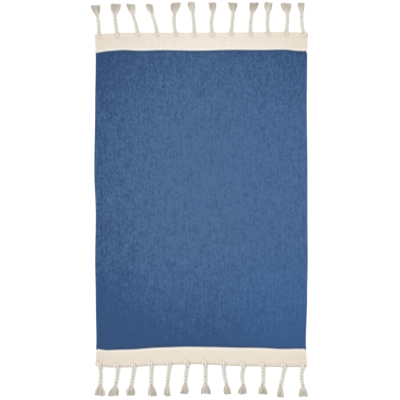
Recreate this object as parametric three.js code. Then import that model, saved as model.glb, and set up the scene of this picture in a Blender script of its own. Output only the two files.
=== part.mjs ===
// Flat-woven cotton rug. One cloth has a blue field, a woven cream band at each end and a
// folded hem at each end. Twelve twisted tassels hang from each hem.
// Units are millimetres. The rug lies on the floor at z = 0 with its length along Y, and the
// origin is on the floor under the middle of its outline, tassels included.
import * as THREE from "three";

// Cloth
const WIDTH = 700;
const LENGTH = 1100;
const THICKNESS = 4;
const RIB_COUNT = 151;
const RIB_HEIGHT = 0.8;
const SELVEDGE_HEIGHT = 2.2;
const SELVEDGE_UNDERCUT = 1;
const BAND_LENGTH = 58;

// Folded hem
const HEM_DEPTH = 15;
const HEM_SLOPE = 6;
const HEM_THICKNESS = 7;
const HEM_COLUMNS = 35;
const FOLD_DEPTH = 3;
const FOLD_STEPS = 4;

// Tassels
const PLY_DIAMETER = 8;
const ROPE_DIAMETER = 12.4;
const ROPE_SIDES = 6;
const TURN_LENGTH = 21;
const STEPS_PER_TURN = 6;
const CLEARANCE = 0.3;
const ROPE_START = 3.8;
const TONGUE_LENGTH = 13.5;
const TONGUE_WIDTH = 9;
const TONGUE_HEIGHT = 4;
const TONGUE_TAPER = 2;
const TONGUE_END_SCALE = 0.6;
const EDGE_OVERLAP = 0.5;
const NECK_SCALE = 0.78;
const HEAD_LENGTH = 5;
const HEAD_WIDTH = 11;
const HEAD_HEIGHT = 7;
const LOCKS_PER_LAYER = 6;
const LOCK_COUNT = 2 * LOCKS_PER_LAYER;
const LOCK_RADIUS = 1.2;
const LOCK_UNEVENNESS = 5;
const LAYER_GAP = 0.8;
const MIDWAY = 0.55;
const MIDWAY_SPREAD = 0.7;
const UPPER_LAYER_SHARE = 0.85;

// Colours
const BLUE = new THREE.Color("#466692");
const CREAM = new THREE.Color("#ece2d2");
const TWIST = new THREE.Color("#dcd3c4");

// How far the side edges stand out (+) or draw in (-), at places along the rug
const SIDE_EDGES = [
  { along: -550, left: -1, right: 0 },
  { along: -470, left: -5, right: -3 },
  { along: -330, left: -3, right: 1 },
  { along: -200, left: -1, right: 3 },
  { along: -55, left: -3, right: 2 },
  { along: 95, left: 2, right: 2 },
  { along: 310, left: -1, right: 0 },
  { along: 470, left: -3, right: 1 },
  { along: 550, left: 2, right: 3 },
];

// How far the end edges stand out (+) or draw in (-), at places across the rug
const END_EDGES = [
  { across: -350, top: -7, bottom: -1 },
  { across: -310, top: -2, bottom: 5 },
  { across: -250, top: 1, bottom: 5 },
  { across: -150, top: 1, bottom: -1 },
  { across: -30, top: 1, bottom: -6 },
  { across: 150, top: 2, bottom: 1 },
  { across: 270, top: 3, bottom: 4 },
  { across: 350, top: 1, bottom: 4 },
];

// A row for each tassel, left to right. root is where it leaves the hem, across the rug. bend,
// neck and tip are how far the rope's middle, the rope's end and the brush's end lie to the
// right of the root. rope and reach are how far the neck and the tip lie out from the hem.
// spread is the brush's width at its end.
const TOP_TASSELS = [
  { root: -339, bend: 0, neck: -5, tip: -10, rope: 63, reach: 99, spread: 30 },
  { root: -278, bend: -5, neck: -8, tip: -3, rope: 60, reach: 99, spread: 35 },
  { root: -210, bend: -7, neck: -16, tip: -23, rope: 59, reach: 97, spread: 28 },
  { root: -146, bend: -7, neck: -16, tip: -27, rope: 59, reach: 97, spread: 25 },
  { root: -85, bend: -5, neck: -4, tip: 3, rope: 63, reach: 101, spread: 32 },
  { root: -23, bend: -2, neck: -5, tip: -11, rope: 65, reach: 103, spread: 24 },
  { root: 36, bend: -3, neck: 2, tip: 2, rope: 65, reach: 101, spread: 26 },
  { root: 98, bend: 4, neck: 7, tip: 7, rope: 66, reach: 101, spread: 30 },
  { root: 163, bend: 0, neck: 5, tip: 15, rope: 65, reach: 100, spread: 30 },
  { root: 221, bend: -3, neck: 0, tip: 2, rope: 64, reach: 100, spread: 27 },
  { root: 280, bend: 4, neck: 4, tip: 0, rope: 60, reach: 98, spread: 35 },
  { root: 338, bend: -6, neck: -6, tip: -7, rope: 63, reach: 100, spread: 22 },
];
const BOTTOM_TASSELS = [
  { root: -334, bend: 2, neck: 0, tip: 0, rope: 62, reach: 100, spread: 35 },
  { root: -276, bend: -2, neck: -8, tip: -15, rope: 62, reach: 98, spread: 36 },
  { root: -221, bend: -5, neck: -10, tip: -12, rope: 63, reach: 96, spread: 31 },
  { root: -164, bend: -1, neck: -1, tip: 5, rope: 64, reach: 103, spread: 28 },
  { root: -104, bend: -5, neck: -8, tip: -8, rope: 64, reach: 104, spread: 22 },
  { root: -45, bend: -5, neck: -7, tip: -10, rope: 64, reach: 102, spread: 27 },
  { root: 14, bend: 0, neck: 0, tip: 3, rope: 63, reach: 100, spread: 33 },
  { root: 74, bend: 2, neck: 10, tip: 15, rope: 63, reach: 98, spread: 25 },
  { root: 140, bend: -5, neck: -1, tip: -4, rope: 62, reach: 95, spread: 29 },
  { root: 204, bend: 1, neck: -1, tip: 2, rope: 61, reach: 94, spread: 30 },
  { root: 275, bend: -6, neck: -13, tip: -12, rope: 62, reach: 102, spread: 22 },
  { root: 336, bend: -5, neck: 0, tip: 3, rope: 62, reach: 100, spread: 31 },
];

const { lerp, inverseLerp, clamp, smoothstep, degToRad } = THREE.MathUtils;

// A column's value in a table at one place, eased between the two rows on each side of it.
function lookUp(table, place, column, at) {
  const inside = clamp(at, table[0][place], table.at(-1)[place]);
  const next = Math.max(1, table.findIndex((row) => row[place] >= inside));
  const low = table[next - 1];
  const high = table[next];
  const share = smoothstep(inside, low[place], high[place]);
  return lerp(low[column], high[column], share);
}

// Collects points and faces into one closed surface.
class Surface {
  constructor() {
    this.points = [];
    this.faces = [];
  }

  point(x, y, z) {
    this.points.push(x, y, z);
    return this.points.length / 3 - 1;
  }

  face(a, b, c) {
    if (a !== b && b !== c && c !== a) this.faces.push(a, b, c);
  }

  // Joins two rows of points that run side by side. Each row may have its own number of
  // points, and the optional places say how far along each point lies.
  strip(near, far, nearPlaces = evenPlaces(near), farPlaces = evenPlaces(far)) {
    let i = 0;
    let j = 0;
    while (i < near.length - 1 || j < far.length - 1) {
      const nearNext = i < near.length - 1 ? nearPlaces[i + 1] : Infinity;
      const farNext = j < far.length - 1 ? farPlaces[j + 1] : Infinity;
      if (nearNext <= farNext) {
        this.face(near[i], near[i + 1], far[j]);
        i += 1;
      } else {
        this.face(near[i], far[j + 1], far[j]);
        j += 1;
      }
    }
  }

  // Joins two rings of points that face each other.
  sleeve(ring, nextRing) {
    this.strip([...ring, ring[0]], [...nextRing, nextRing[0]]);
  }

  geometry() {
    const made = new THREE.BufferGeometry();
    made.setAttribute("position", new THREE.Float32BufferAttribute(this.points, 3));
    made.setIndex(this.faces);
    return made;
  }
}

function evenPlaces(row) {
  return row.map((_, i) => i / (row.length - 1));
}

function range(count) {
  return Array.from({ length: count }, (_, i) => i);
}

// Where the cloth's points lie. across and along run from 0 to 1 over the cloth.
function clothX(across, y) {
  const left = -WIDTH / 2 - lookUp(SIDE_EDGES, "along", "left", y);
  const right = WIDTH / 2 + lookUp(SIDE_EDGES, "along", "right", y);
  return lerp(left, right, across);
}

function endY(across, end) {
  const place = lerp(-WIDTH / 2, WIDTH / 2, across);
  const out = LENGTH / 2 + lookUp(END_EDGES, "across", end, place);
  return end === "top" ? out : -out;
}

function clothY(across, along) {
  return lerp(endY(across, "bottom"), endY(across, "top"), along);
}

// The cloth: a ribbed field that steps up onto the folded hem at each end.
function clothGeometry() {
  const surface = new Surface();
  const ribColumns = 2 * RIB_COUNT + 1;
  const bandPlace = BAND_LENGTH / LENGTH;
  const fieldStart = (HEM_DEPTH + HEM_SLOPE) / LENGTH;
  const innerRows = SIDE_EDGES.slice(1, -1).map((row) => row.along / LENGTH + 0.5);
  const places = [fieldStart, bandPlace, ...innerRows, 1 - bandPlace, 1 - fieldStart];

  const fieldPoint = (column, along) => {
    const across = column / (ribColumns - 1);
    const atSide = column === 0 || column === ribColumns - 1;
    const rib = (column % 2 ? RIB_HEIGHT : -RIB_HEIGHT) / 2;
    const y = clothY(across, along);
    return surface.point(clothX(across, y), y, atSide ? SELVEDGE_HEIGHT : THICKNESS + rib);
  };
  const fieldRows = places.map((along) => range(ribColumns).map((i) => fieldPoint(i, along)));

  // The hem's rows run from under the fold, round its edge and back over its top.
  const hemRows = (end) => {
    const inward = end === "top" ? -1 : 1;
    const hemRow = (depth, z) =>
      range(HEM_COLUMNS + 1).map((i) => {
        const across = i / HEM_COLUMNS;
        const y = endY(across, end) + inward * depth;
        const undercut = z === 0 ? SELVEDGE_UNDERCUT * (1 - 2 * across) : 0;
        return surface.point(clothX(across, y) + undercut, y, z);
      });
    const folded = range(FOLD_STEPS + 1).map((step) => {
      const angle = degToRad(lerp(-90, 90, step / FOLD_STEPS));
      const depth = FOLD_DEPTH * (1 - Math.cos(angle));
      return hemRow(depth, step ? (HEM_THICKNESS / 2) * (1 + Math.sin(angle)) : 0);
    });
    return [...folded, hemRow(HEM_DEPTH, HEM_THICKNESS)];
  };
  const bottomHem = hemRows("bottom");
  const topHem = hemRows("top").reverse();
  const upperRows = [...bottomHem, ...fieldRows, ...topHem];
  upperRows.slice(1).forEach((row, i) => surface.strip(upperRows[i], row));

  // The flat underside, from one hem's fold to the other.
  const undersidePoint = (along, across) => {
    const y = clothY(across, along);
    return surface.point(clothX(across, y) + SELVEDGE_UNDERCUT * (1 - 2 * across), y, 0);
  };
  const underRows = places.map((along) => [0, 1].map((across) => undersidePoint(along, across)));
  const lowerRows = [bottomHem[0], ...underRows, topHem.at(-1)];
  lowerRows.slice(1).forEach((row, i) => surface.strip(row, lowerRows[i]));

  // The two side walls, which close the upper and lower surfaces.
  const hemSteps = range(bottomHem.length).map((i) => i / bottomHem.length);
  const fieldSteps = places.map((_, i) => i + 1);
  const upperPlaces = [...hemSteps, ...fieldSteps, ...hemSteps.map((s) => places.length + 1 + s)];
  const lowerPlaces = [0, ...fieldSteps, places.length + 2];
  const column = (rows, side) => rows.map((row) => row.at(side));
  surface.strip(column(upperRows, 0), column(lowerRows, 0), upperPlaces, lowerPlaces);
  surface.strip(column(lowerRows, -1), column(upperRows, -1), lowerPlaces, upperPlaces);
  return surface.geometry();
}

// Colours each face by where it lies: cream in the end bands, blue between them.
function paintBands(geometry) {
  const faces = geometry.toNonIndexed();
  const corners = faces.getAttribute("position");
  const corner = new THREE.Vector3();
  const colours = [];
  for (let i = 0; i < corners.count; i += 3) {
    const middle = new THREE.Vector3();
    range(3).forEach((k) => middle.addScaledVector(corner.fromBufferAttribute(corners, i + k), 1 / 3));
    const across = middle.x / WIDTH + 0.5;
    const along = inverseLerp(endY(across, "bottom"), endY(across, "top"), middle.y);
    const inBand = Math.min(along, 1 - along) < BAND_LENGTH / LENGTH;
    const { r, g, b } = inBand ? CREAM : BLUE;
    range(3).forEach(() => colours.push(r, g, b));
  }
  faces.setAttribute("color", new THREE.Float32BufferAttribute(colours, 3));
  return faces;
}

// A six-sided oval ring across a tassel. roll turns its long axis up from the floor.
function ovalRing(surface, { x, y, z, long, short, roll }) {
  const turn = degToRad(roll);
  return range(ROPE_SIDES).map((i) => {
    const angle = (-2 * Math.PI * i) / ROPE_SIDES;
    const u = (long / 2) * Math.cos(angle);
    const v = (short / 2) * Math.sin(angle);
    const sideways = u * Math.cos(turn) - v * Math.sin(turn);
    return surface.point(x + sideways, y, z + u * Math.sin(turn) + v * Math.cos(turn));
  });
}

// The sideways place of a rope's middle line, through its root, its bend and its neck.
function ropeX({ bend, neck, rope }, y) {
  const t = Math.max(0, y / rope);
  return 4 * t * (1 - t) * bend + t * (2 * t - 1) * neck;
}

// The tongue of yarn that grips the hem's top, and the twisted rope that runs on from it.
function ropeRings(surface, tassel) {
  const tongueRing = (y, scale) =>
    ovalRing(surface, {
      x: ropeX(tassel, y),
      y,
      z: HEM_THICKNESS + CLEARANCE + (scale * TONGUE_HEIGHT) / 2,
      long: scale * TONGUE_HEIGHT,
      short: scale * TONGUE_WIDTH,
      roll: 90,
    });
  const length = tassel.rope - ROPE_START;
  const stepCount = Math.round((length * STEPS_PER_TURN) / TURN_LENGTH);
  const ropeRing = (step) => {
    const y = lerp(ROPE_START, tassel.rope, step / stepCount);
    const scale = step === stepCount ? NECK_SCALE : 1;
    return ovalRing(surface, {
      x: ropeX(tassel, y),
      y,
      z: ROPE_DIAMETER / 2,
      long: scale * ROPE_DIAMETER,
      short: scale * PLY_DIAMETER,
      roll: 90 + (360 * step) / STEPS_PER_TURN,
    });
  };
  return [
    tongueRing(-TONGUE_LENGTH, TONGUE_END_SCALE),
    tongueRing(TONGUE_TAPER - TONGUE_LENGTH, 1),
    tongueRing(-EDGE_OVERLAP, 1),
    ...range(stepCount + 1).map(ropeRing),
  ];
}

// The locks run round the head's rim: over the top from left to right, then back underneath.
function rimAngle(k) {
  return Math.PI * (1 - k / LOCKS_PER_LAYER);
}

// One three-sided lock, from its base on the head to its tip on the floor.
function addLock(surface, tassel, head, k) {
  const { tip, reach, spread } = tassel;
  const upper = k < LOCKS_PER_LAYER;
  const fromLeft = upper ? k : LOCK_COUNT - 1 - k;
  const share = ((fromLeft + 0.5) / LOCKS_PER_LAYER - 0.5) * (upper ? UPPER_LAYER_SHARE : 1);
  const tipY = reach - LOCK_UNEVENNESS * Math.abs(Math.sin(3 * k + reach));
  const midX = lerp(head.x, tip, MIDWAY) + share * lerp(HEAD_WIDTH, spread, MIDWAY_SPREAD);
  const midY = lerp(head.y, tipY, MIDWAY);
  const midZ = LOCK_RADIUS + (upper ? 2 * LOCK_RADIUS + LAYER_GAP : 0);
  const outward = rimAngle(k + 0.5);
  const midRing = [180, 60, -60].map((turn) => {
    const angle = outward + degToRad(turn);
    const z = midZ + LOCK_RADIUS * Math.sin(angle);
    return surface.point(midX + LOCK_RADIUS * Math.cos(angle), midY, z);
  });
  const end = surface.point(tip + share * spread, tipY, midZ / 2);
  surface.sleeve([head.middle, head.rim[k], head.rim[(k + 1) % LOCK_COUNT]], midRing);
  surface.strip([...midRing, midRing[0]], [end]);
}

// One tassel. It lies out along +Y from the hem's edge, which is at y = 0.
function tasselGeometry(tassel) {
  const surface = new Surface();
  const rings = ropeRings(surface, tassel);
  rings.slice(1).forEach((ring, i) => surface.sleeve(rings[i], ring));
  const start = rings[0];
  for (let i = 1; i < ROPE_SIDES - 1; i += 1) surface.face(start[0], start[i + 1], start[i]);

  const y = tassel.rope + HEAD_LENGTH;
  const x = lerp(tassel.neck, tassel.tip, HEAD_LENGTH / (tassel.reach - tassel.rope));
  const z = HEAD_HEIGHT / 2;
  const rim = range(LOCK_COUNT).map((k) => {
    const rimX = x + (HEAD_WIDTH / 2) * Math.cos(rimAngle(k));
    return surface.point(rimX, y, z + z * Math.sin(rimAngle(k)));
  });
  joinNeck(surface, rings.at(-1), rim);
  const head = { x, y, rim, middle: surface.point(x, y, z) };
  range(LOCK_COUNT).forEach((k) => addLock(surface, tassel, head, k));
  return surface.geometry();
}

// Joins the rope's last ring to the head's rim, starting where both lie furthest left.
function joinNeck(surface, neck, rim) {
  const x = (index) => surface.points[3 * index];
  const start = neck.reduce((best, point, i) => (x(point) < x(neck[best]) ? i : best), 0);
  surface.sleeve([...neck.slice(start), ...neck.slice(0, start)], rim);
}

const rug = new THREE.Group();

function addPiece(name, geometry, look) {
  const material = new THREE.MeshStandardMaterial({ ...look, roughness: 0.95, metalness: 0 });
  const piece = new THREE.Mesh(geometry, material);
  piece.name = name;
  rug.add(piece);
  return piece;
}

// A tassel of the bottom hem is turned half round, so its sideways shifts change sign.
function addTassels(rows, end) {
  const turned = end === "bottom";
  const side = turned ? -1 : 1;
  rows.forEach((row, i) => {
    const tassel = { ...row, bend: side * row.bend, neck: side * row.neck, tip: side * row.tip };
    const name = `tassel_${end}_${String(i + 1).padStart(2, "0")}`;
    const piece = addPiece(name, tasselGeometry(tassel), { color: TWIST });
    piece.position.set(row.root, endY(row.root / WIDTH + 0.5, end), 0);
    piece.rotation.z = turned ? Math.PI : 0;
  });
}

addPiece("rug_body", paintBands(clothGeometry()), { vertexColors: true });
addTassels(TOP_TASSELS, "top");
addTassels(BOTTOM_TASSELS, "bottom");

// The origin lies under the middle of the whole outline.
const middle = new THREE.Box3().setFromObject(rug, true).getCenter(new THREE.Vector3());
rug.position.set(-middle.x, -middle.y, 0);

const part = new THREE.Group();
part.add(rug);

export default part;
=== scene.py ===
"""A flat-woven cotton rug, laid out flat and seen from straight above.

The cloth is one thick sheet with ribs along it, a blue field, a cream band at each end and a
folded hem. Twelve twisted tassels hang from each hem. Lengths are in millimetres until a piece
is made, and the rug's own place comes from the frame.
"""

import math

import bpy
import numpy as np
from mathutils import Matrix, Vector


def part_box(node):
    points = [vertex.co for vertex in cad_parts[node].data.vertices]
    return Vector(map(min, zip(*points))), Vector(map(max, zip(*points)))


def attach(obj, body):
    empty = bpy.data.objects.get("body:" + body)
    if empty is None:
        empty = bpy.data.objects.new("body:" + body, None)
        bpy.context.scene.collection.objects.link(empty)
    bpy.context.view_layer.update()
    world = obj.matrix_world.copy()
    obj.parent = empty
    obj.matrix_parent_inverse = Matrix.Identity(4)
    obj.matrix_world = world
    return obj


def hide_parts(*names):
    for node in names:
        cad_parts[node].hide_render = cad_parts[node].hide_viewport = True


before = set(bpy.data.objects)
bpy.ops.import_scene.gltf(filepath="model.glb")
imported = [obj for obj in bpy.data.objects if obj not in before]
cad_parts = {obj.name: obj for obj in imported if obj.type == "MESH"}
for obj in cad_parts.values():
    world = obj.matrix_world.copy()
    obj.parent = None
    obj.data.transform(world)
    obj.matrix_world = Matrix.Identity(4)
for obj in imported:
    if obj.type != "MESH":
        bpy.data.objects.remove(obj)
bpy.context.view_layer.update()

MM = 0.001

# The cloth
WIDTH = 700
LENGTH = 1100
THICKNESS = 4
RIB_COUNT = 151
RIB_STEPS = 4
RIB_HEIGHT = 0.8
HEM_RIB_HEIGHT = 0.5
FIELD_ROW_PITCH = 25
SIDE_STEPS = 6
SIDE_ROUND = 1.4
TOP_BAND = 59
BOTTOM_BAND = 58
FIELD_LENGTH = LENGTH - TOP_BAND - BOTTOM_BAND
RISE = 0.9
LEVEL_NEAR_HEM = 60

# The folded hem
HEM_DEPTH = 15
HEM_END = 21
HEM_THICKNESS = 7
FOLD_DEPTH = 3
FOLD_STEPS = 6
STITCH_DEPTH = 13
STITCH_PITCH = 4.4
STITCH_LENGTH = 3.3
STITCH_RADIUS = 0.35
STITCH_HEIGHT = 6.7

# The hem's upper side: its height at each depth from the edge
HEM_PROFILE = {
    "depth": (5, 7, 9, 11, 12.2, 13, 13.8, 15, 16, 17.5, HEM_END),
    "height": (7.05, 7.1, 7.1, 7.05, 7, 6.85, 6.85, 6.5, 5.8, 4.9, THICKNESS),
}

# The weave. A float is the length of weft that shows on one rib before it dives under the next.
FLOAT_COUNT = 137
FLOAT_PITCH = FIELD_LENGTH / FLOAT_COUNT
STRANDS_IN_FLOAT = 5
LOOP_RADIUS = 2
LOOP_BULGE = 0.3
LOOP_STEPS = 6
LOOP_SIDES = 8

# The tassels. A rope has two plies of a few yarns each, and ends in a brush of loose strands.
PLY_RADIUS = 3.9
PLY_OFFSET = 2.8
PLY_SQUASH = 0.88
PLY_STRETCH = 1.15
ROPE_RADIUS = 6.55
PLUMPNESS = {"top": 1, "bottom": 1.1}
CREVICE_SHADE = {"top": 0.52, "bottom": 0.66}
ROPE_START = 3.8
TURN_LENGTH = 21
STEPS_PER_TURN = 6
NECK_SCALE = 0.78
RING_PITCH = 1.5
YARNS_IN_PLY = 6
YARN_RADIUS = 1.4
YARN_SIDES = 7
STRAND_COUNT = 130
STRAND_RADIUS = 0.55
STRAND_RINGS = 13
STRAND_SIDES = 4
NECK_WIDTH = 7
CLUMP_COUNT = 8

# The yarn that comes up through the hem and lies over it, as far as ROPE_START
ROOT_DEPTH = 14.5
ROOT_SLANT = 0.2
ROOT_PLY = {
    "y": (-ROOT_DEPTH, -13, -11, -7, 0, ROPE_START, 9),
    "height": (3, 5.4, 7.6, 8.7, 9, 9, 9),
    "wide": (0.9, 1.3, 1.7, 2.05, 1.9, 1.5, 1),
    "flat": (0.8, 0.7, 0.62, 0.6, 0.66, 0.85, 1),
}

# Colours as they look on a screen
DEEP_BLUE = (46, 75, 116)
PALE_BLUE = (75, 108, 149)
COOL_BLUE = (56, 102, 156)
SHADED_BLUE = (44, 58, 88)
CREAM = (235, 224, 209)
LIGHT_CREAM = (249, 240, 227)
WHITE_CREAM = (249, 251, 247)
DARK_YARN = (196, 186, 167)
LIGHT_YARN = (242, 236, 224)
GREY_YARN = (229, 226, 219)

# How far the side edges stand out (+) or draw in (-), at places along the rug
SIDE_EDGES = {
    "along": (-550, -470, -330, -200, -55, 95, 310, 470, 550),
    "left": (-1, -5, -3, -1, -3, 2, -1, -3, 2),
    "right": (0, -3, 1, 3, 2, 2, 0, 1, 3),
}

# How far the end edges stand out (+) or draw in (-), at places across the rug
END_EDGES = {
    "across": (-350, -310, -250, -150, -30, 150, 270, 350),
    "top": (-7, -2, 1, 1, 1, 2, 3, 1),
    "bottom": (-1, 5, 5, -1, -6, 1, 4, 4),
}

# How far the line between the blue and the cream strays towards each end (+) or away from it (-)
BAND_LINES = {
    "across": (-345, -265, -195, -135, -10, 100, 220, 275, 320),
    "top": (0, 2, -1, 1, -1, 1, 0, 1, -2),
    "bottom": (4, 1, 1, 0, 2, -1, -2, 0, -1),
}

# A row for each tassel, left to right. root is where it leaves the hem, across the rug. bend,
# neck and tip are how far the rope's middle, the rope's end and the brush's end lie to the
# right of the root. rope and reach are how far the neck and the tip lie out from the hem.
# spread is the brush's width at its end.
TASSEL_COLUMNS = ("root", "bend", "neck", "tip", "rope", "reach", "spread")
TASSELS = {
    "top": (
        (-339, 0, -5, -10, 63, 99, 30),
        (-278, -5, -8, -3, 60, 99, 35),
        (-210, -7, -16, -23, 59, 97, 28),
        (-146, -7, -16, -27, 59, 97, 25),
        (-85, -5, -4, 3, 63, 101, 32),
        (-23, -2, -5, -11, 65, 103, 24),
        (36, -3, 2, 2, 65, 101, 26),
        (98, 4, 7, 7, 66, 101, 30),
        (163, 0, 5, 15, 65, 100, 30),
        (221, -3, 0, 2, 64, 100, 27),
        (280, 4, 4, 0, 60, 98, 35),
        (338, -6, -6, -7, 63, 100, 22),
    ),
    "bottom": (
        (-334, 2, 0, 0, 62, 100, 35),
        (-276, -2, -8, -15, 62, 98, 36),
        (-221, -5, -10, -12, 63, 96, 31),
        (-164, -1, -1, 5, 64, 103, 28),
        (-104, -5, -8, -8, 64, 104, 22),
        (-45, -5, -7, -10, 64, 102, 27),
        (14, 0, 0, 3, 63, 100, 33),
        (74, 2, 10, 15, 63, 98, 25),
        (140, -5, -1, -4, 62, 95, 29),
        (204, 1, -1, 2, 61, 94, 30),
        (275, -6, -13, -12, 62, 102, 22),
        (336, -5, 0, 3, 62, 100, 31),
    ),
}


def look_up(table, place, column, at):
    """A column's value at one place or many, eased between the rows on each side of it."""
    places = np.array(table[place], float)
    values = np.array(table[column], float)
    inside = np.clip(at, places[0], places[-1])
    high = np.clip(np.searchsorted(places, inside), 1, len(places) - 1)
    share = smooth((inside - places[high - 1]) / (places[high] - places[high - 1]))
    return values[high - 1] + share * (values[high] - values[high - 1])


def smooth(share):
    """Eases a share from 0 to 1 at both ends."""
    inside = np.clip(share, 0, 1)
    return inside * inside * (3 - 2 * inside)


def hump(distance, width):
    """1 in the middle, falling smoothly away from it."""
    return np.exp(-((distance / width) ** 2))


def cloth_x(across, y):
    """A place across the cloth, from 0 at the left edge to 1 at the right."""
    left = -WIDTH / 2 - look_up(SIDE_EDGES, "along", "left", y)
    right = WIDTH / 2 + look_up(SIDE_EDGES, "along", "right", y)
    return left + across * (right - left)


def end_y(across, end):
    """Where the cloth ends, at a place across it."""
    out = LENGTH / 2 + look_up(END_EDGES, "across", end, WIDTH * (across - 0.5))
    return out if end == "top" else -out


def outline_middle():
    """The middle of the cloth's own outline, which the frame moved to its place."""
    shares = np.linspace(0, 1, 1001)
    ys = LENGTH * (shares - 0.5)
    left, right = cloth_x(0, ys).min(), cloth_x(1, ys).max()
    bottom, top = end_y(shares, "bottom").min(), end_y(shares, "top").max()
    return np.array([(left + right) / 2, (bottom + top) / 2, 0])


body_low, body_high = (np.array(corner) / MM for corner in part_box("rug_body"))
SHIFT = (body_low + body_high) / 2 * (1, 1, 0) - outline_middle()


class Shape:
    """Collects points and faces, with what the materials read from them."""

    def __init__(self):
        self.points = []
        self.tones = []
        self.faces = []
        self.corners = []
        self.layout = []
        self.count = 0

    def add(self, points, tones, faces, corners, layout):
        """tones has a row for each point, corners and layout one for each corner of a face."""
        self.points.append(points)
        self.tones.append(tones)
        self.faces.extend([[self.count + i for i in face] for face in faces])
        self.corners.append(corners)
        self.layout.append(layout)
        self.count += len(points)

    def make(self, name, material, corner_values):
        """The finished piece, riding on the rug."""
        mesh = bpy.data.meshes.new(name)
        mesh.from_pydata((np.concatenate(self.points) + SHIFT) * MM, [], self.faces)
        mesh.shade_smooth()
        for kept, values, domain in (
            (corner_values, self.corners, "CORNER"),
            ("tone", self.tones, "POINT"),
        ):
            attribute = mesh.attributes.new(kept, "FLOAT_VECTOR", domain)
            attribute.data.foreach_set("vector", np.concatenate(values).ravel())
        layout = mesh.uv_layers.new(name="OFBake")
        layout.data.foreach_set("uv", np.concatenate(self.layout).ravel())
        mesh.materials.append(material)
        piece = bpy.data.objects.new(name, mesh)
        bpy.context.scene.collection.objects.link(piece)
        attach(piece, "root")
        return piece


def add_tubes(shape, paths, radii, sides, ids, cells, tone_at):
    """Adds closed tubes. paths holds tube, step and place, and radii and ids a value for each."""
    count, steps = paths.shape[:2]
    ahead = np.gradient(paths, axis=1)
    ahead /= np.linalg.norm(ahead, axis=2, keepdims=True)
    side = np.cross(ahead, (0, 0, 1))
    side /= np.linalg.norm(side, axis=2, keepdims=True)
    up = np.cross(side, ahead)
    turn = 2 * np.pi * np.arange(sides)[:, None] / sides
    ring = np.cos(turn) * side[:, :, None] + np.sin(turn) * up[:, :, None]
    points = paths[:, :, None] + radii[:, :, None, None] * ring
    tones = np.broadcast_to(tone_at(points), points.shape)

    index = np.arange(count * steps * sides).reshape(count, steps, sides)
    beside = np.roll(index, -1, axis=2)
    walls = np.stack([index[:, :-1], index[:, 1:], beside[:, 1:], beside[:, :-1]], axis=3)
    faces = walls.reshape(-1, 4).tolist()
    faces += index[:, 0].tolist()
    faces += index[:, -1, ::-1].tolist()

    # At each corner: how far round the tube it lies, how far along, and the tube's own number.
    lengths = np.linalg.norm(np.diff(paths, axis=1), axis=2)
    along = np.concatenate([np.zeros((count, 1)), np.cumsum(lengths, axis=1)], axis=1)
    step, part = np.meshgrid(np.arange(steps - 1), np.arange(sides), indexing="ij")
    wall_step = np.stack([step, step + 1, step + 1, step], axis=2)
    wall_part = np.stack([part, part, part + 1, part + 1], axis=2) / sides
    wall_shape = (count, *wall_part.shape)
    tube = np.arange(count)[:, None, None, None]
    tube_ids = np.broadcast_to(ids[:, None, None, None], wall_shape)
    around = np.broadcast_to(wall_part, wall_shape)
    corners = [np.stack([around, along[tube, wall_step], tube_ids], axis=4).reshape(-1, 3)]
    cap_part = np.arange(sides) / sides
    for part_order, end in ((cap_part, 0), (cap_part[::-1], -1)):
        cap = np.zeros((count, sides, 3))
        cap[:, :, 0] = part_order
        cap[:, :, 1] = along[:, [end]]
        cap[:, :, 2] = ids[:, None]
        corners.append(cap.reshape(-1, 3))

    # Each tube has a cell of its own in the flat layout, with its two ends above and below.
    first, total = cells
    grid = math.ceil(math.sqrt(total))
    cell = first + np.arange(count)
    corner = np.stack([cell % grid, cell // grid], axis=1) / grid
    wall_up = np.broadcast_to(0.2 + 0.6 * wall_step / (steps - 1), wall_shape)
    wall_layout = np.stack([0.08 + 0.84 * around, wall_up], axis=4)
    wall_layout = corner[:, None, None, None] + wall_layout / grid
    cap_turn = 2 * np.pi * cap_part
    cap_round = np.stack([np.cos(cap_turn), np.sin(cap_turn)], axis=1) * 0.06
    low_layout = corner[:, None] + (cap_round + (0.5, 0.1)) / grid
    high_layout = corner[:, None] + (cap_round[::-1] + (0.5, 0.9)) / grid
    layout = [part.reshape(-1, 2) for part in (wall_layout, low_layout, high_layout)]
    points = points.reshape(-1, 3)
    shape.add(points, tones.reshape(-1, 3), faces, np.concatenate(corners), np.concatenate(layout))


# Materials


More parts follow.
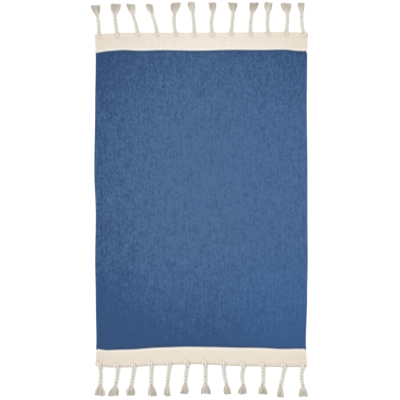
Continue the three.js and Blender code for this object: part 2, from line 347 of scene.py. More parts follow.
class Material:
    """A principled material whose nodes are added by short calls."""

    def __init__(self, name, roughness, sheen):
        self.made = bpy.data.materials.new(name)
        self.made.use_nodes = True
        self.tree = self.made.node_tree
        self.shader = self.tree.nodes["Principled BSDF"]
        self.shader.inputs["Roughness"].default_value = roughness
        self.shader.inputs["Specular IOR Level"].default_value = 0.25
        self.shader.inputs["Sheen Weight"].default_value = sheen
        self.shader.inputs["Sheen Roughness"].default_value = 0.5

    def node(self, kind, *values, **settings):
        """A node with values or links for its first inputs. None leaves an input as it is."""
        made = self.tree.nodes.new(kind)
        for setting, value in settings.items():
            setattr(made, setting, value)
        for socket, value in zip(made.inputs, values):
            self.feed(socket, value)
        return made

    def feed(self, socket, value):
        if isinstance(value, bpy.types.NodeSocket):
            self.tree.links.new(value, socket)
        elif value is not None:
            socket.default_value = value

    def math(self, operation, *values):
        return self.node("ShaderNodeMath", *values, operation=operation).outputs[0]

    def add(self, *values):
        return self.math("ADD", *values)

    def times(self, *values):
        return self.math("MULTIPLY", *values)

    def scaled_add(self, value, scale, base):
        return self.math("MULTIPLY_ADD", value, scale, base)

    def vector(self, x, y, z=0.0):
        return self.node("ShaderNodeCombineXYZ", x, y, z).outputs[0]

    def attribute(self, name):
        """The three values that the shape's corners or points hold under a name."""
        read = self.node("ShaderNodeAttribute", attribute_name=name)
        return self.node("ShaderNodeSeparateXYZ", read.outputs["Vector"]).outputs

    def noise(self, x, y, z=0.0, detail=2):
        """Noise about 0, whose size is 1 / x across the first value, and so on."""
        made = self.node("ShaderNodeTexNoise", self.vector(x, y, z))
        made.inputs["Scale"].default_value = 1
        made.inputs["Detail"].default_value = detail
        return self.math("SUBTRACT", made.outputs["Fac"], 0.5)

    def stretch(self, value, low, high, to_low=0.0, to_high=1.0):
        """A value moved from one range to another, and kept inside it."""
        return self.node("ShaderNodeMapRange", value, low, high, to_low, to_high).outputs[0]

    def mix(self, share, first, second):
        made = self.node("ShaderNodeMix", data_type="RGBA")
        for place, value in ((0, share), (6, first), (7, second)):
            self.feed(made.inputs[place], value)
        return made.outputs[2]

    def shaded(self, colour, light):
        made = self.node("ShaderNodeVectorMath", colour, operation="SCALE")
        self.feed(made.inputs["Scale"], light)
        return made.outputs[0]

    def finish(self, colour, height, depth):
        """Links the colour and a bump whose height runs from 0 to 1 over a depth in millimetres."""
        self.feed(self.shader.inputs["Base Color"], colour)
        bump = self.node("ShaderNodeBump")
        bump.inputs["Distance"].default_value = depth * MM
        self.feed(bump.inputs["Height"], height)
        self.feed(self.shader.inputs["Normal"], bump.outputs[0])
        return self.made


def colour(screen):
    """A colour as it looks on a screen, from 0 to 255, as the linear light that nodes use."""
    share = np.array(screen) / 255
    linear = np.where(share > 0.04045, ((share + 0.055) / 1.055) ** 2.4, share / 12.92)
    return (*linear.tolist(), 1.0)


def arch(material, phase, power):
    """Rises from 0 to 1 and falls back to 0 as the phase goes from 0 to 1."""
    wave = material.math("SINE", material.times(phase, math.pi))
    return material.math("POWER", material.math("MAXIMUM", wave, 0.0), power)


def cloth_noise(material, name, across, along):
    """One of the cloth's noises, from its row in the table."""
    row = CLOTH_NOISE[name]
    sideways = material.times(across, row["across"])
    lengthways = material.times(along, row["along"])
    return material.noise(sideways, lengthways, row["offset"], detail=row["detail"])


# Noise in the cloth: how fast it changes across the ribs and along them in millimetres
CLOTH_NOISE = {
    "wide_streak": {"across": 0.4, "along": 0.014, "offset": 0.0, "detail": 2},
    "fine_streak": {"across": 1.1, "along": 0.012, "offset": 7.0, "detail": 1},
    "patch": {"across": 0.14, "along": 0.035, "offset": 3.0, "detail": 2},
    "blot": {"across": 0.5, "along": 0.12, "offset": 11.0, "detail": 2},
    "fibre": {"across": 4.5, "along": 2.4, "offset": 5.0, "detail": 4},
    "fluff": {"across": 11.0, "along": 3.0, "offset": 9.0, "detail": 2},
}

# How far the lines reach, and how much each noise, line and hollow shows
LINE_START = 2.0
LINE_END = 9.0
LINE_STRENGTH = 0.85
NEAR_BOTTOM_FLOATS = 4.5
NEAR_BOTTOM_SHADE = -0.14
WIDE_STREAK_SHARE = 0.6
FINE_STREAK_SHARE = 0.75
BLOT_SHARE = 0.95
OWN_TONE_SHARE = 0.6
PATCH_SHARE = 0.65
COOL_SHARE = 0.35
CREAM_STREAK_SHARE = 0.5
CREAM_SPECKLE_SHARE = 0.6
SLIP_ACROSS = 3.7
SLIP_ALONG = 0.11
SLIP_OFFSET = 21.0
SLIP_SHARE = 0.5
STRAND_SLIP_SHARE = 2.5
RIB_VALLEY_SHADE = 0.74
FLOAT_END_SHADE = 0.78
HOLLOW_RANGE = 0.8
STRAND_SHADES = (0.93, 1.02)
FIBRE_SHADE = 0.4
FLUFF_SHADE = 0.25
RIB_BUMP = (0.3, 0.6)
STRAND_BUMP = 0.14
FIBRE_BUMP = 0.35


def make_cloth_material():
    """The weave: floats of weft side by side on the ribs, half a float apart on the next rib."""
    made = Material("woven_cotton", roughness=0.95, sheen=0.12)
    across, along, _ = made.attribute("weave")
    light, cool, shade = made.attribute("tone")

    # Which rib and float a point lies on, and how far inside the field's end on its own rib.
    rib = made.math("FLOOR", across)
    odd = made.math("MODULO", rib, 2.0)
    from_line = made.add(along, -BOTTOM_BAND)
    place = made.scaled_add(from_line, 1 / FLOAT_PITCH, made.scaled_add(odd, 0.5, 0.25))
    row = made.math("FLOOR", place)
    from_bottom = made.math("SUBTRACT", place, odd)
    from_top = made.math("SUBTRACT", float(FLOAT_COUNT), from_bottom)
    inside = made.times(made.math("MINIMUM", from_bottom, from_top), FLOAT_PITCH)
    in_field = made.math("GREATER_THAN", inside, 0.0)
    from_band = made.math("ABSOLUTE", inside)
    beside_line = made.stretch(from_band, LINE_START, LINE_END, 1.0, 0.0)
    near_bottom = made.stretch(from_bottom, 0.0, NEAR_BOTTOM_FLOATS, 1.0, 0.0)

    # Each float has a tone of its own, and the ribs have long, faint streaks.
    one_float = made.node("ShaderNodeTexWhiteNoise", made.vector(rib, row), noise_dimensions="2D")
    own = made.add(one_float.outputs["Value"], -0.5)
    noises = {name: cloth_noise(made, name, across, along) for name in CLOTH_NOISE}
    fine_part = made.times(noises["fine_streak"], FINE_STREAK_SHARE)
    streak = made.scaled_add(noises["wide_streak"], WIDE_STREAK_SHARE, fine_part)
    speckle = made.scaled_add(noises["blot"], BLOT_SHARE, made.times(own, OWN_TONE_SHARE))

    blue_paleness = made.scaled_add(streak, 1.0, light)
    blue_paleness = made.scaled_add(noises["patch"], PATCH_SHARE, blue_paleness)
    blue_paleness = made.add(blue_paleness, speckle)
    blue_paleness = made.scaled_add(near_bottom, NEAR_BOTTOM_SHADE, blue_paleness)
    blue = made.mix(blue_paleness, colour(DEEP_BLUE), colour(PALE_BLUE))
    blue = made.mix(made.times(cool, COOL_SHARE), blue, colour(COOL_BLUE))
    blue = made.mix(made.times(beside_line, LINE_STRENGTH), blue, colour(SHADED_BLUE))
    speckled = made.scaled_add(speckle, CREAM_SPECKLE_SHARE, light)
    paleness = made.scaled_add(streak, CREAM_STREAK_SHARE, speckled)
    cream = made.mix(paleness, colour(CREAM), colour(LIGHT_CREAM))
    cream = made.mix(made.times(beside_line, LINE_STRENGTH), cream, colour(WHITE_CREAM))
    dyed = made.mix(in_field, cream, blue)

    # The form of a float, its strands and its fibres, with painted shade in its hollows
    slip = made.noise(made.times(rib, SLIP_ACROSS), made.times(along, SLIP_ALONG), SLIP_OFFSET)
    over_float = made.math("FRACT", made.scaled_add(slip, SLIP_SHARE, place))
    float_arch = arch(made, over_float, 0.5)
    rib_arch = arch(made, made.math("FRACT", across), 0.7)
    strands_passed = made.times(over_float, float(STRANDS_IN_FLOAT))
    strand_phase = made.scaled_add(slip, STRAND_SLIP_SHARE, strands_passed)
    strand = arch(made, made.math("FRACT", strand_phase), 0.6)
    # Painted shade: darker in the valleys between ribs, at each float's ends where it dives, and on
    # each strand's sides; the fibre noise adds grain.
    rib_shade = made.stretch(rib_arch, 0.0, HOLLOW_RANGE, RIB_VALLEY_SHADE, 1.0)
    float_shade = made.stretch(float_arch, 0.0, HOLLOW_RANGE, FLOAT_END_SHADE, 1.0)
    hollow = made.times(rib_shade, float_shade)
    painted_shade_and_grain = made.times(hollow, made.stretch(strand, 0.0, 1.0, *STRAND_SHADES))
    painted_shade_and_grain = made.times(painted_shade_and_grain, made.scaled_add(noises["fibre"], FIBRE_SHADE, 1.0))
    painted_shade_and_grain = made.times(painted_shade_and_grain, made.scaled_add(noises["fluff"], FLUFF_SHADE, 1.0))
    height = made.times(float_arch, made.stretch(rib_arch, 0.0, 1.0, *RIB_BUMP))
    height = made.scaled_add(strand, STRAND_BUMP, height)
    height = made.scaled_add(noises["fibre"], FIBRE_BUMP, height)
    return made.finish(made.shaded(dyed, made.times(painted_shade_and_grain, shade)), height, depth=0.9)


# How the fibres wind round a yarn, and how they show
FIBRE_WIND = 0.16
FIBRES_ROUND = 7.0
FIBRE_ALONG = 0.3
RIDGES_ROUND = 3.0
YARN_PATCH_ALONG = 0.08
YARN_OFFSET = 40.0
YARN_FIBRE_SHARE = 0.5
YARN_PATCH_SHARE = 0.4
RIDGE_SHADES = (0.88, 1.03)
RIDGE_BUMP = 0.6
YARN_FIBRE_BUMP = 0.4


def make_yarn_material():
    """Twisted cotton yarn: fine fibres that wind round each strand."""
    made = Material("twisted_yarn", roughness=0.95, sheen=0.15)
    around, along, own = made.attribute("thread")
    light, grey, shade = made.attribute("tone")
    wound = made.scaled_add(along, FIBRE_WIND, around)
    own_place = made.times(own, YARN_OFFSET)
    fibres = made.times(wound, FIBRES_ROUND)
    fibre = made.noise(fibres, made.times(along, FIBRE_ALONG), own_place, detail=3)
    patch = made.noise(own_place, made.times(along, YARN_PATCH_ALONG))
    ridge = arch(made, made.math("FRACT", made.times(wound, RIDGES_ROUND)), 0.7)
    patched = made.scaled_add(patch, YARN_PATCH_SHARE, light)
    share = made.scaled_add(fibre, YARN_FIBRE_SHARE, patched)
    dyed = made.mix(share, colour(DARK_YARN), colour(LIGHT_YARN))
    dyed = made.mix(grey, dyed, colour(GREY_YARN))
    # Painted shade in the grooves between fibre ridges, times the painted shade that each point
    # holds.
    lit = made.times(shade, made.stretch(ridge, 0.0, 1.0, *RIDGE_SHADES))
    height = made.scaled_add(ridge, RIDGE_BUMP, made.times(fibre, YARN_FIBRE_BUMP))
    return made.finish(made.shaded(dyed, lit), height, depth=0.25)


CLOTH_MATERIAL = make_cloth_material()
YARN_MATERIAL = make_yarn_material()

# The cloth


def cloth_rows():
    """From the bottom end to the top: each row's end, depth from it, heights and slope."""
    half = HEM_THICKNESS / 2
    near = []
    for angle in np.linspace(0, np.pi / 2, FOLD_STEPS + 1):
        lift = half * math.sin(angle)
        near.append((FOLD_DEPTH * (1 - math.cos(angle)), half + lift, half - lift, angle))
    flat = zip(HEM_PROFILE["depth"], HEM_PROFILE["height"])
    near += [(depth, height, 0, np.pi / 2) for depth, height in flat]
    between = LENGTH - 2 * HEM_END
    count = round(between / FIELD_ROW_PITCH)
    depths = [HEM_END + between * i / count for i in range(1, count)]
    rows = [("bottom", *row) for row in near]
    rows += [("field", depth, THICKNESS, 0, np.pi / 2) for depth in depths]
    rows += [("top", *row) for row in reversed(near)]
    return rows


def row_y(end, depth, across):
    """Where a row lies along the rug, which follows the uneven ends."""
    bottom, top = end_y(across, "bottom"), end_y(across, "top")
    if end == "bottom":
        return bottom + depth
    if end == "top":
        return top - depth
    hem_bottom, hem_top = bottom + HEM_END, top - HEM_END
    share = (depth - HEM_END) / (LENGTH - 2 * HEM_END)
    return hem_bottom + share * (hem_top - hem_bottom)


def rib_arch_at(columns):
    """The ribs' rounded section: 0 in a valley and 1 on a crest."""
    return np.sin(np.pi * (columns / RIB_STEPS % 1)) ** 0.8


# Lengths in the waves of the cloth's rise, in millimetres for each radian
WAVE_ACROSS = 95
WAVE_DRIFT = 260
WAVE_ALONG = 140
WAVE_SLANT = 310
RIPPLE_ACROSS = 47
RIPPLE_ALONG = 90

# The line between blue and cream strays in full up to one depth, then less over a length
STRAY_FULL = 90
STRAY_FADE = 260


def gentle_rise(x, y):
    """How far the cloth stands off the floor: slow, shallow waves that die away at the hems."""
    wave = np.sin(x / WAVE_ACROSS + 1.3 + y / WAVE_DRIFT) * np.sin(y / WAVE_ALONG - x / WAVE_SLANT)
    wave += 0.5 * np.sin(x / RIPPLE_ACROSS - y / RIPPLE_ALONG)
    room = smooth((LENGTH / 2 - np.abs(y)) / LEVEL_NEAR_HEM - 0.4)
    return RISE * room * np.clip(0.4 + 0.4 * wave, 0, 1)


def weave_place(x, place):
    """A place along the rug as the weave counts it, which strays a little towards the ends."""
    room = 1 - smooth((np.stack([place, LENGTH - place]) - STRAY_FULL) / STRAY_FADE)
    stray = [look_up(BAND_LINES, "across", end, x) for end in ("bottom", "top")]
    return place + room[0] * stray[0] - room[1] * stray[1]


# The palest place along the rug, and how much deeper the colour is away from it
PALE_Y = 40
PALE_LENGTH = 480
PALE_POWER = 2.5
PALENESS = 0.9
END_DEEPENING = {"top": 0.53, "bottom": 0.85}
SIDE_DEEPENING = {"left": 0.5, "right": 0.16}
CORNER_DEEPENING = 0.25
LOW_START = 100
LOW_LENGTH = 250
RIGHT_LENGTH = 300
LOW_RIGHT_LIGHT = 0.22
RIGHT_COOL = 0.25


def cloth_tone(x, y, shade):
    """How pale the colour is, how cool its blue and how shaded the cloth, at each point."""
    # The colour is paler in the middle and deeper towards the ends and the sides.
    ends = np.abs((y - PALE_Y) / PALE_LENGTH) ** PALE_POWER
    sides = np.abs(x / (WIDTH / 2)) ** 2
    side_deepening = np.where(x < 0, SIDE_DEEPENING["left"], SIDE_DEEPENING["right"]) + CORNER_DEEPENING * ends
    end_deepening = np.where(y > PALE_Y, END_DEEPENING["top"], END_DEEPENING["bottom"])
    light = PALENESS - end_deepening * ends - side_deepening * sides
    low = smooth((-y - LOW_START) / LOW_LENGTH)
    right = smooth(x / RIGHT_LENGTH)
    light += LOW_RIGHT_LIGHT * low * right
    cool = low * (0.5 + 0.5 * right) + RIGHT_COOL * right
    return np.stack([light, cool, shade + 0 * light], axis=-1)


# The dent and the crease round each root, which is a ring of yarn on the hem
DENT_WIDTH = 5.5
DENT_LENGTH = 7
DENT_MIDDLE = 7
DENT_DEPTH = 1.1
RING_WIDTH = 7.4
RING_LENGTH = 11
RING_MIDDLE = 4.5
CREASE_WIDTH = 0.18
CREASE_SHADE = {
    "top": {"left": 0.34, "right": 0.27},
    "bottom": {"left": 0.67, "right": 0.67},
}
CREASE_FADE = 0.6
CREASE_FADE_START = 8
CREASE_FADE_LENGTH = 5
CREASE_LIMIT = 0.75


def near_roots(x, depth, end):
    """How deep each tassel's yarn sinks into the hem, and how much painted shade darkens the
    creases beside it.
    """
    dent = np.zeros_like(x)
    dark = np.zeros_like(x)
    slant = ROOT_SLANT if end == "top" else -ROOT_SLANT
    for row in TASSELS.get(end, ()):
        tassel = dict(zip(TASSEL_COLUMNS, row))
        offset = x - tassel["root"] - slant * (depth + ROPE_START)
        dent += hump(offset, DENT_WIDTH) * hump(depth - DENT_MIDDLE, DENT_LENGTH)
        from_oval = np.hypot(offset / RING_WIDTH, (depth - RING_MIDDLE) / RING_LENGTH) - 1
        sides = CREASE_SHADE[end]
        strength = np.where(offset < 0, sides["left"], sides["right"])
        inner = smooth((depth - CREASE_FADE_START) / CREASE_FADE_LENGTH)
        dark += strength * (1 - CREASE_FADE * inner) * hump(from_oval, CREASE_WIDTH)
    return dent, dark


# Painted shade on the hem and the fold, painted light on the top hem's slope, and the cream bands
# darker towards their sides
HEM_SHADE = 0.03
HEM_SHADE_START = 7
HEM_SHADE_LENGTH = 4
TOP_SLOPE_LIGHT = 0.08
TOP_SLOPE_MIDDLE = 16
TOP_SLOPE_WIDTH = 4
BOTTOM_HEM_SHADE = 0.04
FOLD_SHADE = 0.12
FOLD_SHADE_WIDTH = 4
BAND_SHADE = 0.05
BAND_SHADE_START = 75
BAND_SHADE_LENGTH = 20
UNDER_SHARE = 0.9


def cloth_ring(row, across, ribs, wall):
    """The points round one row of the sheet: over the top, down a side and back under."""
    end, depth, top, under, angle = row
    y = row_y(end, depth, across)
    in_hem = float(smooth((HEM_DEPTH + 2 - depth) / 3)) if end != "field" else 0.0
    x = cloth_x(across, y) + SIDE_ROUND * (1 - 2 * across)
    rib = (RIB_HEIGHT + in_hem * (HEM_RIB_HEIGHT - RIB_HEIGHT)) * (ribs - 0.5)
    dent, dark = near_roots(x, depth, end)
    rise = gentle_rise(x, y)
    inward = 1 if end == "bottom" else -1
    out_y = y - inward * rib * math.cos(angle) * (depth < FOLD_DEPTH)
    top_z = top + rise + (rib - DENT_DEPTH * dent) * math.sin(angle)
    under_z = under + UNDER_SHARE * rise - (rib - RIB_HEIGHT / 2) * math.sin(angle) ** 8
    upper = np.stack([x, out_y, top_z], axis=1)
    lower = np.stack([x, out_y, np.maximum(under_z, 0)], axis=1)

    # A folded hem has two rounded edges at its side, one above the other.
    single = np.sin(np.pi * wall)
    double = np.abs(np.sin(2 * np.pi * wall))
    bulge = (SIDE_ROUND * (single + in_hem * (double - single)))[:, None] * (1, 0, 0)
    right = upper[-1] + wall[:, None] * (lower[-1] - upper[-1]) + bulge
    left = lower[0] + wall[:, None] * (upper[0] - lower[0]) - bulge
    ring = np.concatenate([upper, right, lower[::-1], left])

    shade = np.ones(len(ring))
    # Painted shade on the hem, deeper on the bottom hem and its fold, painted light on the top
    # hem's slope, and painted shade in the creases round the roots.
    if end != "field":
        shade -= HEM_SHADE * (1 - smooth((depth - HEM_SHADE_START) / HEM_SHADE_LENGTH))
        if end == "top":
            shade += TOP_SLOPE_LIGHT * hump(depth - TOP_SLOPE_MIDDLE, TOP_SLOPE_WIDTH)
        else:
            shade -= BOTTOM_HEM_SHADE + FOLD_SHADE * hump(depth, FOLD_SHADE_WIDTH)
        shade[: len(dark)] -= np.clip(dark, 0, CREASE_LIMIT)
    in_band = smooth((np.abs(ring[:, 1]) - LENGTH / 2 + BAND_SHADE_START) / BAND_SHADE_LENGTH)
    shade -= BAND_SHADE * in_band * np.abs(ring[:, 0] / (WIDTH / 2)) ** 4
    return ring, cloth_tone(ring[:, 0], ring[:, 1], shade)


def make_cloth():
    """The sheet, made of a ring of points for each row."""
    columns = np.arange(RIB_COUNT * RIB_STEPS + 1)
    across = columns / columns[-1]
    wall = np.arange(1, SIDE_STEPS) / SIDE_STEPS
    rows = cloth_rows()
    made = [cloth_ring(row, across, rib_arch_at(columns), wall) for row in rows]
    rings = np.concatenate([ring for ring, _ in made])
    tones = np.concatenate([tone for _, tone in made])
    places = np.array([LENGTH - row[1] if row[0] == "top" else row[1] for row in rows])

    # The first and last rings are the folds' outer lines, where the top and underside meet.
    top_count = len(columns)
    right_end = top_count + len(wall)
    under_end = right_end + top_count
    size = under_end + len(wall)
    keys = np.arange(len(rows) * size).reshape(len(rows), size)
    for row in (keys[0], keys[-1]):
        row[top_count:right_end] = row[top_count - 1]
        row[right_end:under_end] = row[:top_count][::-1]
        row[under_end:] = row[0]
    used, flat_keys = np.unique(keys, return_inverse=True)
    keys = flat_keys.reshape(keys.shape)

    ribs = columns / RIB_STEPS
    beside = np.full(len(wall), 0.5)
    ring_ribs = np.concatenate([ribs, beside, ribs[::-1] + 1, beside])
    ring_across = np.concatenate([across, 1 + 0 * beside, across[::-1], 0 * beside])
    ring_x = np.tile(WIDTH * (ring_across - 0.5), (len(rows), 1))
    weave_places = weave_place(ring_x, np.tile(places[:, None], (1, size)))
    starts, stops = ring_layout(top_count, len(wall))
    faces, corners, layout = [], [], []
    for i in range(len(rows) - 1):
        for k in range(size):
            after = (k + 1) % size
            face = (keys[i, k], keys[i, after], keys[i + 1, after], keys[i + 1, k])
            kept = [n for n in range(4) if face[n] not in face[:n]]
            faces.append([int(face[n]) for n in kept])
            at_side = top_count - 1 <= k < right_end or k >= under_end - 1
            for n in kept:
                far, up = n in (1, 2), n in (2, 3)
                rib = 0.5 if at_side else ring_ribs[k + far]
                corners.append((rib, weave_places[i + up, after if far else k], 0))
                sideways = stops[k] if far else starts[k]
                layout.append((sideways, 0.01 + 0.98 * places[i + up] / LENGTH))
    shape = Shape()
    shape.add(rings[used], tones[used], faces, np.array(corners, float), np.array(layout))
    piece = shape.make("cloth", CLOTH_MATERIAL, "weave")
    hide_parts("rug_body")
    return piece


def ring_layout(top_count, wall_count):
    """Where each step round the sheet lies across the flat layout: top, side, underside, side."""
    starts, stops = [], []
    for low, high, steps in (
        (0.01, 0.48, top_count - 1),
        (0.486, 0.494, wall_count + 1),
        (0.506, 0.976, top_count - 1),
        (0.982, 0.99, wall_count + 1),
    ):
        edges = np.linspace(low, high, steps + 1)
        starts += edges[:-1].tolist()
        stops += edges[1:].tolist()
    return starts, stops


# Details of the selvedge loops and the stitches
SELVEDGE_SHADE = 0.95
SELVEDGE_INSET = 0.1
SELVEDGE_TAPER = 3
SELVEDGE_END_SHARE = 0.4
STITCH_MARGIN = 12
STITCH_START = 8
STITCH_LIFT = 0.6


def make_selvedge(side):
    """The loops of weft that turn round the outermost rib, and those of the folded hems."""
    across = 0 if side == "left" else 1
    inward = 1 - 2 * across
    shape = Shape()
    end_gap = 0.6
    cloth_z, fold_z = 2.1, 4.9
    runs = (
        (end_gap, LENGTH - end_gap, cloth_z),
        (end_gap, HEM_DEPTH, fold_z),
        (LENGTH - HEM_DEPTH, LENGTH - end_gap, fold_z),
    )
    for i, (start, stop, z) in enumerate(runs):
        steps = round((stop - start) * LOOP_STEPS / FLOAT_PITCH)
        place = np.linspace(start, stop, steps + 1)
        share = place / LENGTH
        y = end_y(across, "bottom") + share * (end_y(across, "top") - end_y(across, "bottom"))
        x = cloth_x(across, y)
        phase = np.pi * (place / FLOAT_PITCH + 0.5 * (side == "right"))
        radius = LOOP_RADIUS + LOOP_BULGE * (np.abs(np.sin(phase)) - 0.6)
        taper = smooth((place - start) / SELVEDGE_TAPER) * smooth((stop - place) / SELVEDGE_TAPER)
        radius = radius * (SELVEDGE_END_SHARE + (1 - SELVEDGE_END_SHARE) * taper)
        middle_x = x + inward * (LOOP_RADIUS - SELVEDGE_INSET)
        path = np.stack([middle_x, y, z + gentle_rise(x, y)], axis=1)
        tone_at = lambda points: cloth_tone(points[..., 0], points[..., 1], SELVEDGE_SHADE)
        cells = (i, len(runs))
        add_tubes(shape, path[None], radius[None], LOOP_SIDES, np.zeros(1), cells, tone_at)
    for corners, (start, _, _) in zip(shape.corners, runs):
        corners[:, 0] = 0.5
        corners[:, 1] = weave_place(WIDTH * (across - 0.5), corners[:, 1] + start)
    return shape.make(f"selvedge_{side}", CLOTH_MATERIAL, "weave")


def make_stitches(end):
    """The row of stitches that holds a hem, each dipping into the cloth at both ends."""
    count = round((WIDTH - STITCH_MARGIN) / STITCH_PITCH)
    start = -WIDTH / 2 + STITCH_START + STITCH_PITCH * np.arange(count)
    t = np.linspace(0, 1, 5)
    x = start[:, None] + STITCH_LENGTH * t
    inward = 1 if end == "bottom" else -1
    y = end_y(x / WIDTH + 0.5, end) + inward * STITCH_DEPTH
    x = cloth_x(x / WIDTH + 0.5, y)
    z = STITCH_HEIGHT + STITCH_LIFT * np.sin(np.pi * t) + 0 * x
    radii = np.full(x.shape, STITCH_RADIUS)
    random = np.random.default_rng(5 if end == "top" else 6)
    shape = Shape()
    paths = np.stack([x, y, z], axis=2)
    tone_at = lambda points: (0.9, 0, 1)
    add_tubes(shape, paths, radii, 5, random.random(count), (0, count), tone_at)
    return shape.make(f"hem_stitches_{end}", YARN_MATERIAL, "thread")


# The tassels


def rope_x(tassel, y):
    """The sideways place of a rope's middle line, through its root, its bend and its neck."""
    t = np.maximum(0, y / tassel["rope"])
    return 4 * t * (1 - t) * tassel["bend"] + t * (2 * t - 1) * tassel["neck"]


# Tones of a rope: painted shade beside the hem, its yarn's tone along it, and painted shade deep
# between its plies
ROPE_HEM_SHADE = 0.3
ROPE_DARKER = 0.3
ROPE_GREY = 0.85
ROPE_TONE_LENGTH = 8
CREVICE_START = 1.5
CREVICE_LENGTH = 3.7

# How the plies waver and swell, how their yarns wind, and where they start, narrow and stop
PLY_WAVER = 0.25
PLY_SWELL = 0.06
WIND_BY_TURN = 0.7
WIND_BY_LENGTH = 0.05
BACK_PLY_START = -1.5
NECK_LENGTH = 9
PAST_NECK = 3


def add_rope(shape, tassel, random, cells):
    """Two plies of a few yarns each. The yarns wind the other way round inside their ply.

    One ply comes over the hem's top, and the other from under its fold.
    """
    rope, plump = tassel["rope"], tassel["plump"]
    turns = round((rope - ROPE_START) * STEPS_PER_TURN / TURN_LENGTH) / STEPS_PER_TURN

    def tone_at(points):
        """Painted shade deep between the plies and beside the hem, and greyer beyond the hem."""
        x, y, z = np.moveaxis(points, -1, 0)
        aside = x - rope_x(tassel, y)
        from_axis = np.hypot(aside, z - plump * ROPE_RADIUS) / plump
        deep = (1 - smooth((from_axis - CREVICE_START) / CREVICE_LENGTH)) * (y > ROPE_START)
        beside_hem = hump(y - 2, 3.5) * smooth((np.abs(aside) - 2) / 4)
        on_rope = smooth((y - ROPE_START) / ROPE_TONE_LENGTH)
        shade = 1 - tassel["crevice"] * deep - ROPE_HEM_SHADE * beside_hem
        return np.stack([1 - ROPE_DARKER * on_rope, ROPE_GREY * on_rope, shade], axis=-1)

    for number, (first_y, first_turn) in enumerate(((-ROOT_DEPTH, 90), (BACK_PLY_START, 270))):
        last_y = rope + PAST_NECK
        y = np.linspace(first_y, last_y, round((last_y - first_y) / RING_PITCH))
        share = np.clip((y - ROPE_START) / (rope - ROPE_START), 0, 1.05)
        turn = np.radians(first_turn) + 2 * np.pi * turns * share
        turn += PLY_WAVER * np.sin(y / 9 + random.random() * 6) * share
        tight = 1 - (1 - NECK_SCALE) * smooth((y - rope + NECK_LENGTH) / NECK_LENGTH)
        x = rope_x(tassel, y) + plump * tight * PLY_OFFSET * np.cos(turn)
        z = plump * (ROPE_RADIUS + tight * PLY_OFFSET * np.sin(turn))
        wide, flat = 1, 1
        if number == 0:
            before = y < ROPE_START
            x = np.where(before, ROOT_SLANT * (ROPE_START - y), x)
            z = np.where(before, np.interp(y, ROOT_PLY["y"], ROOT_PLY["height"]), z)
            wide = np.interp(y, ROOT_PLY["y"], ROOT_PLY["wide"])
            flat = np.interp(y, ROOT_PLY["y"], ROOT_PLY["flat"])
        yarn = 2 * np.pi * np.arange(YARNS_IN_PLY)[:, None] / YARNS_IN_PLY
        wind = yarn - WIND_BY_TURN * turn - WIND_BY_LENGTH * y
        swell = 1 + PLY_SWELL * np.sin(y / 5 + 3 * yarn)
        spread = plump * tight * (PLY_RADIUS - YARN_RADIUS) * swell
        # Two plies press together, so each is squashed where they meet and bulges to the sides.
        outwards = PLY_SQUASH * spread * np.cos(wind - turn)
        sidewards = PLY_STRETCH * spread * np.sin(wind - turn)
        yarn_x = x + wide * (outwards * np.cos(turn) - sidewards * np.sin(turn))
        yarn_z = z + flat * (outwards * np.sin(turn) + sidewards * np.cos(turn))
        paths = np.stack([yarn_x, y + 0 * yarn_x, yarn_z], axis=2)
        ends = np.clip((y - y[0]) / 2 + 0.3, 0, 1) * np.clip((y[-1] - y) / 2 + 0.3, 0, 1)
        radii = YARN_RADIUS * plump * tight * ends + 0 * yarn_x
        ids = random.random(YARNS_IN_PLY)
        first = cells[0] + number * YARNS_IN_PLY
        add_tubes(shape, paths, radii, YARN_SIDES, ids, (first, cells[1]), tone_at)


# How far the strands of a brush fall short of its reach, by clump, by strand and at the sides
CLUMP_SHORTER = 5
STRAND_SHORTER = 7
SIDE_SHORTER = 5
REACH_PAST = 1.2

# How the strands fan out, draw into clumps, sway and lie in a heap
GATHERED = 0.4
SPREAD_SHARE = 1.04
OPENING_POWER = 1.8
SWAY = 0.9
HEAP_HEIGHT = 5

# Tones of a brush: each strand's own and its clump's, and painted shade by its height in the heap
# and at the clump's edges
DARKEST_STRAND = 0.22
CLUMP_TONE_SHARE = 0.55
STRAND_TONE_SHARE = 0.4
NECK_GREY = 0.6
LOW_STRAND_SHADE = 0.88
LEVEL_LIGHT = 0.13
CLUMP_EDGE_SHADE = 0.2


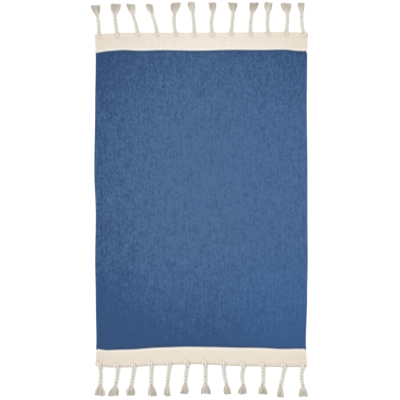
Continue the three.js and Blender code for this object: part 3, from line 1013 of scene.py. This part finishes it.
def add_brush(shape, tassel, random, cells):
    """The loose strands beyond the neck, which fan out in clumps and rest on the floor."""
    rope, reach = tassel["rope"], tassel["reach"]
    t = np.linspace(0, 1, STRAND_RINGS)
    order = random.permutation(STRAND_COUNT)
    share = ((order + random.random(STRAND_COUNT)) / STRAND_COUNT - 0.5)[:, None]
    level = random.random((STRAND_COUNT, 1))

    # The clumps have uneven widths, lengths and tones, and their strands draw together.
    edges = np.cumsum(0.5 + random.random(CLUMP_COUNT))
    edges = np.concatenate([[0], edges / edges[-1]]) - 0.5
    clump = np.searchsorted(edges, share) - 1
    clump_middle = ((edges[:-1] + edges[1:]) / 2)[clump]
    clump_tone = random.random(CLUMP_COUNT)[clump]
    clump_short = random.random(CLUMP_COUNT)[clump]
    gathered = share + (clump_middle - share) * GATHERED * t

    strand_short = random.random((STRAND_COUNT, 1)) ** 2
    shorter = CLUMP_SHORTER * clump_short + STRAND_SHORTER * strand_short - REACH_PAST
    shorter = shorter + SIDE_SHORTER * np.abs(share) ** 2.5
    tip_y = reach - shorter
    start_y = rope - 1
    y = start_y + (tip_y - start_y) * t
    out = np.clip((y - rope) / (reach - rope), 0, 1)
    middle = tassel["neck"] + out * (tassel["tip"] - tassel["neck"])
    opened = 1 - (1 - t) ** OPENING_POWER
    width = NECK_WIDTH + (SPREAD_SHARE * tassel["spread"] - NECK_WIDTH) * opened
    curl = random.random((STRAND_COUNT, 2)) * 2 * np.pi
    pitch = 2.1 + 1.6 * random.random((STRAND_COUNT, 1))
    sway = (0.25 + 0.75 * random.random((STRAND_COUNT, 1))) * smooth(2 * t)
    x = middle + gathered * width + SWAY * sway * np.sin(y / pitch + curl[:, :1])
    heap = 1 + HEAP_HEIGHT * level * (1 - 1.6 * share**2)
    start_z = ROPE_RADIUS - 0.6 + 3.4 * (2 * level - 1) * np.sqrt(1 - (1.9 * share) ** 2 * 0.9)
    z = start_z + (heap - start_z) * smooth(1.5 * t)
    radii = STRAND_RADIUS * (1.05 - 0.35 * t**3) + 0 * x
    z = np.maximum(z + 0.5 * sway * np.cos(y / pitch + curl[:, 1:]), radii)

    light = DARKEST_STRAND + CLUMP_TONE_SHARE * clump_tone
    light = light + STRAND_TONE_SHARE * random.random((STRAND_COUNT, 1))
    grey = NECK_GREY * (1 - smooth(2.5 * t))
    # Painted shade on the strands low in the heap and at the edges of each clump.
    from_clump = np.abs(share - clump_middle) * CLUMP_COUNT
    edge_shade = CLUMP_EDGE_SHADE * smooth(2 * from_clump - 0.2) * smooth(2 * t)
    shade = LOW_STRAND_SHADE + LEVEL_LIGHT * level - edge_shade
    tones = np.stack([light + 0 * x, grey + 0 * x, shade + 0 * x], axis=2)
    tone_at = lambda points: tones[:, :, None]
    ids = random.random(STRAND_COUNT)
    add_tubes(shape, np.stack([x, y, z], axis=2), radii, STRAND_SIDES, ids, cells, tone_at)


def make_tassel(end, number, row):
    """One tassel, built lying out along +Y from the hem's edge, then put in its place."""
    tassel = dict(zip(TASSEL_COLUMNS, row), plump=PLUMPNESS[end], crevice=CREVICE_SHADE[end])
    turned = -1 if end == "bottom" else 1
    for column in ("bend", "neck", "tip"):
        tassel[column] *= turned
    random = np.random.default_rng(100 * number + (1 if end == "top" else 2))
    shape = Shape()
    cell_count = 2 * YARNS_IN_PLY + STRAND_COUNT
    add_rope(shape, tassel, random, (0, cell_count))
    add_brush(shape, tassel, random, (2 * YARNS_IN_PLY, cell_count))
    place = (tassel["root"], end_y(tassel["root"] / WIDTH + 0.5, end), 0)
    shape.points = [points * (turned, turned, 1) + place for points in shape.points]
    piece = shape.make(f"tassel_yarn_{end}_{number:02d}", YARN_MATERIAL, "thread")
    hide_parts(f"tassel_{end}_{number:02d}")
    return piece


# The camera, floor and light

CAMERA_HEIGHT = 8000
PHOTO_WIDTH = 1322
PHOTO_CENTRE = (-2.55, -2.65)
FLOOR_HALF = 40000
SKY_STRENGTH = 0.72
LAMP_STRENGTH = 1.7
LAMP_WIDTH = 35
LAMP_LEAN = (-22, -28, 0)
FLOOR_GREY = 0.9
FLOOR_GLOW = 0.18


def make_camera():
    """A long lens straight above, as the photograph was taken."""
    data = bpy.data.cameras.new("camera")
    data.sensor_width = 36
    data.lens = data.sensor_width * CAMERA_HEIGHT / PHOTO_WIDTH
    data.clip_end = 100
    camera = bpy.data.objects.new("camera", data)
    camera.location = (np.array([*PHOTO_CENTRE, CAMERA_HEIGHT]) + SHIFT) * MM
    bpy.context.scene.collection.objects.link(camera)
    bpy.context.scene.camera = camera


def make_floor():
    """A plain white floor, a little lit from within so that it stays white under soft shade."""
    mesh = bpy.data.meshes.new("floor")
    corners = np.array([(-1, -1, 0), (1, -1, 0), (1, 1, 0), (-1, 1, 0)])
    mesh.from_pydata(corners * FLOOR_HALF * MM, [], [(0, 1, 2, 3)])
    floor = bpy.data.objects.new("floor", mesh)
    material = bpy.data.materials.new("floor_white")
    material.use_nodes = True
    shader = material.node_tree.nodes["Principled BSDF"]
    shader.inputs["Base Color"].default_value = (FLOOR_GREY, FLOOR_GREY, FLOOR_GREY, 1)
    shader.inputs["Roughness"].default_value = 1
    shader.inputs["Specular IOR Level"].default_value = 0
    shader.inputs["Emission Color"].default_value = (1, 1, 1, 1)
    shader.inputs["Emission Strength"].default_value = FLOOR_GLOW
    mesh.materials.append(material)
    bpy.context.scene.collection.objects.link(floor)


def make_lights():
    """Even light from all round, and one broad lamp from above and to the left."""
    world = bpy.data.worlds.new("studio")
    bpy.context.scene.world = world
    world.use_nodes = True
    background = world.node_tree.nodes["Background"]
    background.inputs["Color"].default_value = (1, 1, 1, 1)
    rays = world.node_tree.nodes.new("ShaderNodeLightPath")
    strength = world.node_tree.nodes.new("ShaderNodeMapRange")
    strength.inputs["To Min"].default_value = SKY_STRENGTH
    strength.inputs["To Max"].default_value = 1
    world.node_tree.links.new(rays.outputs["Is Camera Ray"], strength.inputs["Value"])
    world.node_tree.links.new(strength.outputs["Result"], background.inputs["Strength"])
    data = bpy.data.lights.new("lamp", "SUN")
    data.energy = LAMP_STRENGTH
    data.angle = math.radians(LAMP_WIDTH)
    lamp = bpy.data.objects.new("lamp", data)
    lamp.rotation_euler = [math.radians(angle) for angle in LAMP_LEAN]
    bpy.context.scene.collection.objects.link(lamp)
    settings = bpy.context.scene.view_settings
    settings.view_transform = "Standard"
    settings.look = "None"


make_camera()
make_floor()
make_lights()
cloth = make_cloth()
extras = [make_selvedge("left"), make_selvedge("right")]
extras += [make_stitches("top"), make_stitches("bottom")]
extras += [make_tassel(end, i + 1, row) for end in TASSELS for i, row in enumerate(TASSELS[end])]
